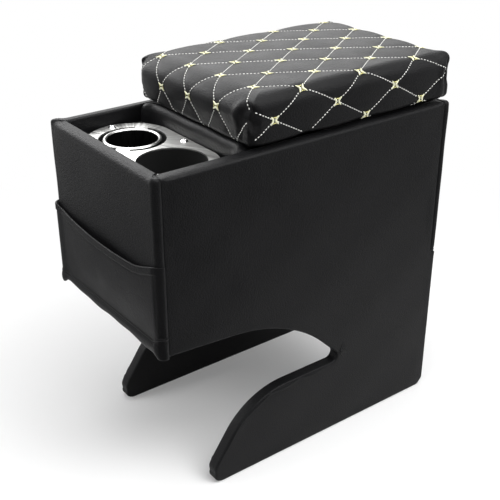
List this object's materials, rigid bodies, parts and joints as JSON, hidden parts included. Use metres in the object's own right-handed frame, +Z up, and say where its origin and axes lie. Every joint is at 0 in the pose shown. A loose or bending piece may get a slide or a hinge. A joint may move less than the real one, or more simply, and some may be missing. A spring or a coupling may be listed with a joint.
{
  "type": "car centre armrest",
  "caption": "Upholstered car centre armrest on two open side legs, with a front pocket, a cup holder insert and a quilted lid that hinges open over a storage box.",
  "frame": {"origin": "on the floor, under the middle of the part's box", "axes": "+Z up, the cup holder and pocket end faces -Y, +X to the right of a person who faces that end from the front"},
  "size_m": [0.204, 0.3882, 0.4252],
  "materials": {
    "plywood": "raw birch plywood",
    "painted_board": "plywood painted black",
    "leatherette": "black grained leatherette, satin",
    "quilted_leatherette": "black grained leatherette, satin, diamond quilted",
    "thread": "cream and yellow thread",
    "felt": "black felt",
    "foam": "upholstery foam",
    "tray_plastic": "black moulded plastic",
    "brushed_plate": "dark brushed metal, semi-gloss",
    "sleeve_metal": "dark satin metal",
    "hinge_steel": "rolled steel",
    "zinc_screw": "zinc plated",
    "chrome_screw": "bright chrome"
  },
  "bodies": {
    "base": {"right_side_panel": "plywood", "left_side_panel": "plywood", "front_panel": "plywood", "rear_panel": "plywood", "divider_panel": "plywood", "box_floor": "plywood", "cup_shelf": "painted_board", "right_side_cover": "leatherette", "left_side_cover": "leatherette", "front_cover": "leatherette", "rear_cover": "leatherette", "divider_cover": "leatherette", "front_pocket": "leatherette", "underside_cover": "leatherette", "bin_carpet": "felt", "cup_tray": "tray_plastic", "cup_plate": "brushed_plate", "bottle_sleeve": "sleeve_metal", "hinge_leaf_body": "hinge_steel", "hinge_pin": "hinge_steel", "panel_screws": "zinc_screw", "hinge_screws_body": "zinc_screw", "cup_screws": "chrome_screw"},
    "lid": {"lid_board": "plywood", "lid_foam": "foam", "lid_cover": "quilted_leatherette", "lid_liner": "felt", "quilt_stitching": "thread", "hinge_leaf_lid": "hinge_steel", "hinge_screws_lid": "zinc_screw"}
  },
  "joints": [
    {"name": "lid_hinge", "type": "hinge", "parent": "base", "child": "lid", "pos_m": [0, 0.19165, 0.3716], "axis": [-1, 0, 0], "range_deg": [0, 105]}
  ]
}
